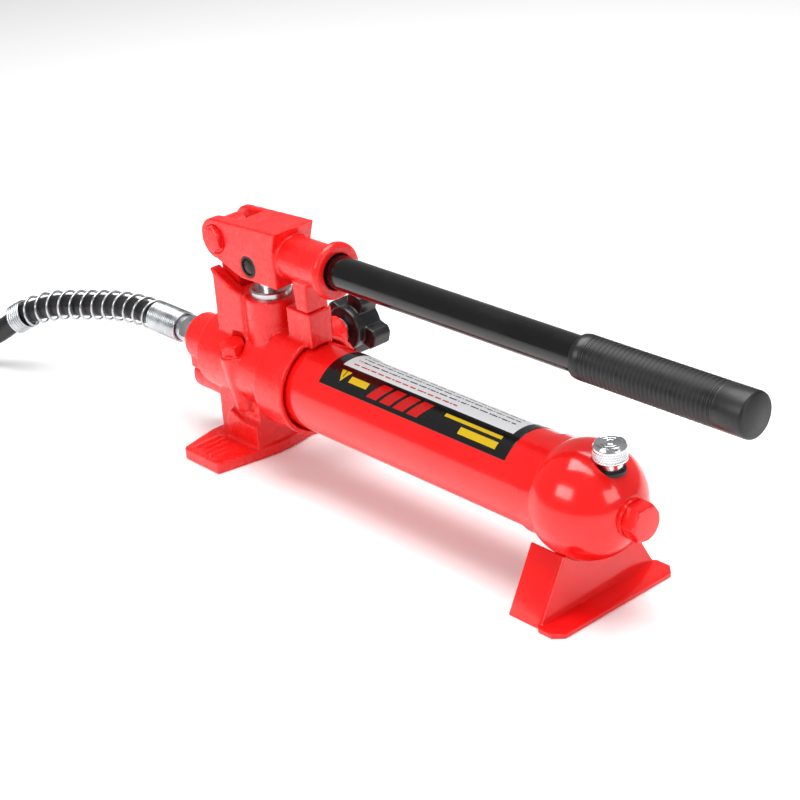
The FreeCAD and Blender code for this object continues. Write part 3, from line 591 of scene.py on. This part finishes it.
def make_stage():
    mesh = bpy.data.meshes.new("floor")
    half = FLOOR_HALF
    corners = [(-half, -half, 0), (half, -half, 0), (half, half, 0), (-half, half, 0)]
    mesh.from_pydata(corners, [], [(0, 1, 2, 3)])
    floor = new_object("floor", mesh)
    floor.location.z = -FLOOR_DROP
    mesh.materials.append(floor_material())

    world = bpy.data.worlds.new("studio")
    bpy.context.scene.world = world
    world.use_nodes = True
    backdrop = world.node_tree.nodes["Background"]
    backdrop.inputs["Color"].default_value = (1.0, 1.0, 1.0, 1)
    backdrop.inputs["Strength"].default_value = 0.34

    lamps = (
        ("top", (0.10, 0.15, 1.5), (0.15, 0, 0.05), 1.2, 1.1, 32),
        ("front", (0.1, -1.5, 1.0), (0.1, 0, 0.08), 1.0, 0.6, 13),
        ("end", (1.7, 0.1, 0.7), (0.15, 0, 0.08), 0.7, 0.6, 6),
    )
    for name, at, target, width, height, power in lamps:
        data = bpy.data.lights.new(name, "AREA")
        data.shape = "RECTANGLE"
        data.size = width
        data.size_y = height
        data.energy = power
        lamp = new_object(name, data)
        lamp.location = at
        lamp.rotation_euler = (Vector(target) - Vector(at)).to_track_quat("-Z", "Y").to_euler()


make_stage()
bpy.context.scene.view_settings.view_transform = "Standard"

# ---------------------------------------------------------------- castings and sheet

softened("pump_casting", "pump_body", "pump", "red_cast_paint", 0.0008, 10)
softened("lever_casting", "lever_socket", "lever", "red_cast_paint", 0.0007, 9)
softened("knob_moulding", "release_knob", "knob", "black_plastic", 0.0006, 12)
bevelled_copy("rear_bracket", "rear_foot", "pump", "red_gloss_paint", 0.0009)

# ---------------------------------------------------------------- tank, cap and label


def arc(centre, radius, first, last, steps):
    """Points of an arc as (radius, height) pairs, its centre on the axis."""
    points = []
    for step in range(steps + 1):
        angle = math.radians(first + (last - first) * step / steps)
        points.append((radius * math.sin(angle), centre + radius * math.cos(angle)))
    return points


def make_end_cap():
    """The dome, with its skirt, the flat for the washer and the round recess for the filler."""
    bolt_hole = 0.0072
    flat_angle = math.degrees(math.acos((DOME_FLAT - DOME_X) / DOME_R))
    outer = arc(DOME_X, DOME_R, flat_angle, 113.5, 48)
    profile = [(bolt_hole, DOME_FLAT)] + outer + [
        (0.0322, 0.2955), (0.0316, 0.2945), (0.0314, 0.2930), (0.0314, 0.2836), (0.0310, 0.2831),
        (0.0301, 0.2830), (0.0301, 0.2970),
        (DOME_INSIDE_R, 0.2970), (DOME_INSIDE_R, DOME_X),
    ] + arc(DOME_X, DOME_INSIDE_R, 90, 16, 20) + [(bolt_hole, 0.3395), (bolt_hole, DOME_FLAT)]
    mesh = finished(lathe_bm(profile, 160), "end_dome", (0, 0, TANK_Z), (1, 0, 0), 32)
    dome = new_object("end_dome", mesh)
    tools = []
    for reach, low, high in ((0.0093, 0.090, 0.13), (0.0080, 0.070, 0.091), (0.0109, 0.0976, 0.13)):
        cutter_mesh = finished(
            lathe_bm([(0, low), (reach, low), (reach, high), (0, high)], 96), "cutter",
            (FILLER.x, 0, 0), (0, 0, 1))
        cutter = new_object("cutter", cutter_mesh)
        tools.append(cutter)
        carve = dome.modifiers.new("carve", "BOOLEAN")
        carve.object = cutter
        carve.operation = "DIFFERENCE"
        carve.solver = "EXACT"
    rim = dome.modifiers.new("rim", "BEVEL")
    rim.width = 0.0005
    rim.segments = 3
    rim.limit_method = "ANGLE"
    rim.angle_limit = math.radians(45)
    apply_modifiers(dome)
    for cutter in tools:
        bpy.data.objects.remove(cutter)
    shade(dome.data, 32)
    settle(dome, "pump", "red_gloss_paint", "end_cap")


BLACK = (0.004, 0.004, 0.005)
WHITE = (0.82, 0.82, 0.83)
PRINT_RED = (0.72, 0.030, 0.022)
YELLOW = (0.80, 0.66, 0.02)
GREY = (0.16, 0.16, 0.17)


def label_ink(x, rise):
    """The label's print at a distance along the tank, in mm, and an angle up from the near side."""
    if not (106 < x < 260 and rise > 74):
        if 46 < rise < 69:
            up = (rise - 46) / 23
            # generic marks: a triangle, a block of slanted bars, and plain lines
            if 109 < x < 119 and 0.22 < up < 0.92 and abs(x - 114) < 4.6 * (up - 0.22) / 0.7:
                return YELLOW if abs(x - 114) > 0.5 or up < 0.5 else BLACK
            if 121 < x < 138 and 0.35 < up < 0.75:
                return YELLOW
            slant = x - 7 * up
            if 141 < slant < 190 and (slant - 141) % 12.5 < 9.5:
                return PRINT_RED
            if 207 < x < 256 and 0.66 < up < 0.88:
                return YELLOW
            if 224 < x < 256 and 0.08 < up < 0.48:
                return YELLOW
        return BLACK
    if 79 < rise < 84 and 112 < x < 208 and math.sin(x * 1.9) + math.sin(x * 0.83) > -0.9:
        return PRINT_RED if 80.3 < rise < 82.9 else WHITE
    for low in (90, 98, 106):
        if low < rise < low + 2.2 and 112 < x < 254 and math.sin(x * 2.3 + low) + math.sin(x * 0.7) > -0.8:
            return GREY
    return WHITE


def make_label():
    """A thin film bent over the tube, its print held as a colour on each face."""
    inner, outer = TANK_R + 0.00002, TANK_R + 0.00022
    across, around = 420, 144
    first, last = 40, 150
    bm = bmesh.new()
    ink = bm.loops.layers.color.new("ink")

    def spot(reach, x, rise):
        angle = math.radians(rise)
        return bm.verts.new((x, -reach * math.cos(angle), TANK_Z + reach * math.sin(angle)))

    top = []
    for row in range(around + 1):
        rise = first + (last - first) * row / around
        top.append([
            spot(outer, LABEL[0] + (LABEL[1] - LABEL[0]) * step / across, rise)
            for step in range(across + 1)
        ])
    for row in range(around):
        rise = first + (last - first) * (row + 0.5) / around
        for step in range(across):
            x = (LABEL[0] + (LABEL[1] - LABEL[0]) * (step + 0.5) / across) / MM
            face = bm.faces.new(
                [top[row][step], top[row][step + 1], top[row + 1][step + 1], top[row + 1][step]])
            face.smooth = True
            for loop in face.loops:
                loop[ink] = (*label_ink(x, rise), 1)
    rim = [edge for edge in bm.edges if edge.is_boundary]
    skirt = bmesh.ops.extrude_edge_only(bm, edges=rim)["geom"]
    for vert in skirt:
        if isinstance(vert, bmesh.types.BMVert):
            out = Vector((0, vert.co.y, vert.co.z - TANK_Z)).normalized()
            vert.co -= out * (outer - inner)
    bmesh.ops.recalc_face_normals(bm, faces=bm.faces)
    mesh = bpy.data.meshes.new("label_print")
    bm.to_mesh(mesh)
    bm.free()
    link_mesh("label_print", mesh, "pump", "label_film", "label_wrap")


def make_filler_cap():
    """Turned cap with a diamond-knurled rim, rings on its top and a plain shank."""
    teeth = 44
    low, high = 0.0996, 0.1052

    def knurl(radius, height, angle):
        if radius < 0.0103 or not low < height < high:
            return radius
        turn = angle * teeth / (2 * math.pi)
        climb = (height - low) / 0.00145
        first = abs((turn + climb * 0.5) % 1 - 0.5) * 2
        second = abs((turn - climb * 0.5) % 1 - 0.5) * 2
        return radius - 0.00045 * max(first, second) ** 2

    rim = [(0.0105, low + (high - low) * step / 28) for step in range(1, 28)]
    rings = []
    for reach in (0.0082, 0.0056, 0.0030):
        rings += [(reach + 0.0003, 0.1088), (reach, 0.10855), (reach - 0.0003, 0.1088)]
    profile = [
        (0, 0.0801), (0.0070, 0.0801), (0.00775, 0.0809), (0.00775, 0.0976), (0.0080, 0.0981),
        (0.0100, 0.0981), (0.0105, 0.0986), (0.0105, low),
    ] + rim + [
        (0.0105, high), (0.0105, 0.1062), (0.0103, 0.1070), (0.0100, 0.1076), (0.0096, 0.1080),
        (0.0093, 0.1087), (0.0090, 0.10885),
    ] + rings + [(0, 0.1089)]
    mesh = finished(lathe_bm(profile, teeth * 8, knurl), "filler_breather", (FILLER.x, 0, 0), (0, 0, 1), 50)
    link_mesh("filler_breather", mesh, "cap", "chrome_plate", "filler_cap")


make_end_cap()
make_label()
make_filler_cap()

# ---------------------------------------------------------------- handle


def make_grip():
    """Moulded rubber sleeve with fine rings round it and a plain collar at each end."""
    length = GRIP_LENGTH
    profile = [(GRIP_INSIDE_R, 0), (0.0128, 0), (0.0136, 0.0008), (0.0138, 0.0022), (0.0138, 0.0075)]
    count = 30
    first, last = 0.0080, 0.1060
    pitch = (last - first) / count
    for step in range(count):
        base = first + pitch * step
        profile += [
            (0.0131, base), (0.0130, base + pitch * 0.18), (0.0131, base + pitch * 0.36),
            (0.0137, base + pitch * 0.46), (0.0138, base + pitch * 0.68),
            (0.0137, base + pitch * 0.90),
        ]
    profile += [
        (0.0137, last + 0.0006), (0.0138, last + 0.0016), (0.0138, length - 0.0022),
        (0.0134, length - 0.0008), (0.0122, length), (0, length),
    ]
    at = HANDLE_ORIGIN + HANDLE_AXIS * GRIP_START
    mesh = finished(lathe_bm(profile, 96), "grip_sleeve", at, HANDLE_AXIS, 60)
    link_mesh("grip_sleeve", mesh, "handle", "black_rubber", "handle_grip")


make_grip()

# ---------------------------------------------------------------- nuts, bolts and fittings

for piece, node, body, slot, width in (
    ("tie_bolt_head", "tie_bolt", "pump", "red_gloss_paint", 0.0004),
    ("outlet_plug", "side_plug", "pump", "red_cast_paint", 0.0004),
    ("pivot_bolt", "fulcrum_bolt", "lever", "red_cast_paint", 0.0004),
    ("pivot_nut", "fulcrum_nut", "lever", "red_cast_paint", 0.0004),
    ("port_adapter", "hose_adapter", "pump", "zinc_plate", 0.0004),
    ("swivel_nut", "hose_nut", "pump", "zinc_plate", 0.0005),
):
    bevelled_copy(piece, node, body, slot, width)



def make_pin():
    """The plunger's pin: oiled steel with a low dome at each end."""
    low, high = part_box("plunger_pin")
    radius = (high[0] - low[0]) / 2
    length = high[1] - low[1]
    at = ((low[0] + high[0]) / 2, low[1], (low[2] + high[2]) / 2)
    dome = [(0, 0), (radius * 0.45, 0.00015), (radius * 0.8, 0.0006), (radius, 0.0014)]
    profile = dome + [(reach, length - height) for reach, height in reversed(dome)]
    mesh = finished(lathe_bm(profile, 64), "eye_pin", at, (0, 1, 0))
    link_mesh("eye_pin", mesh, "lever", "blackened_steel", "plunger_pin")


def make_ferrule():
    """Crimped steel ferrule on the near end of the hose, with its pressed bands."""
    low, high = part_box("near_ferrule")
    radius = (high[1] - low[1]) / 2
    length = high[0] - low[0]
    profile = [(0, 0), (radius - 0.0006, 0), (radius, 0.0006)]
    for band in (0.35, 0.60):
        start = length * band
        profile += [(radius, start), (radius - 0.0005, start + 0.0006), (radius - 0.0005, start + 0.0028),
                    (radius, start + 0.0034)]
    profile += [(radius, length - 0.0006), (radius - 0.0006, length), (0, length)]
    mesh = finished(lathe_bm(profile, 72), "crimped_ferrule", (high[0], 0, TANK_Z), (-1, 0, 0))
    link_mesh("crimped_ferrule", mesh, "pump", "zinc_plate", "near_ferrule")


make_pin()
make_ferrule()

SLOTS = {part["node"]: part["material_slot"] for part in frame["record"]["subparts"]}
for name, obj in frame["nodes"].items():
    if obj.type == "MESH":
        paint(obj, SLOTS[name])
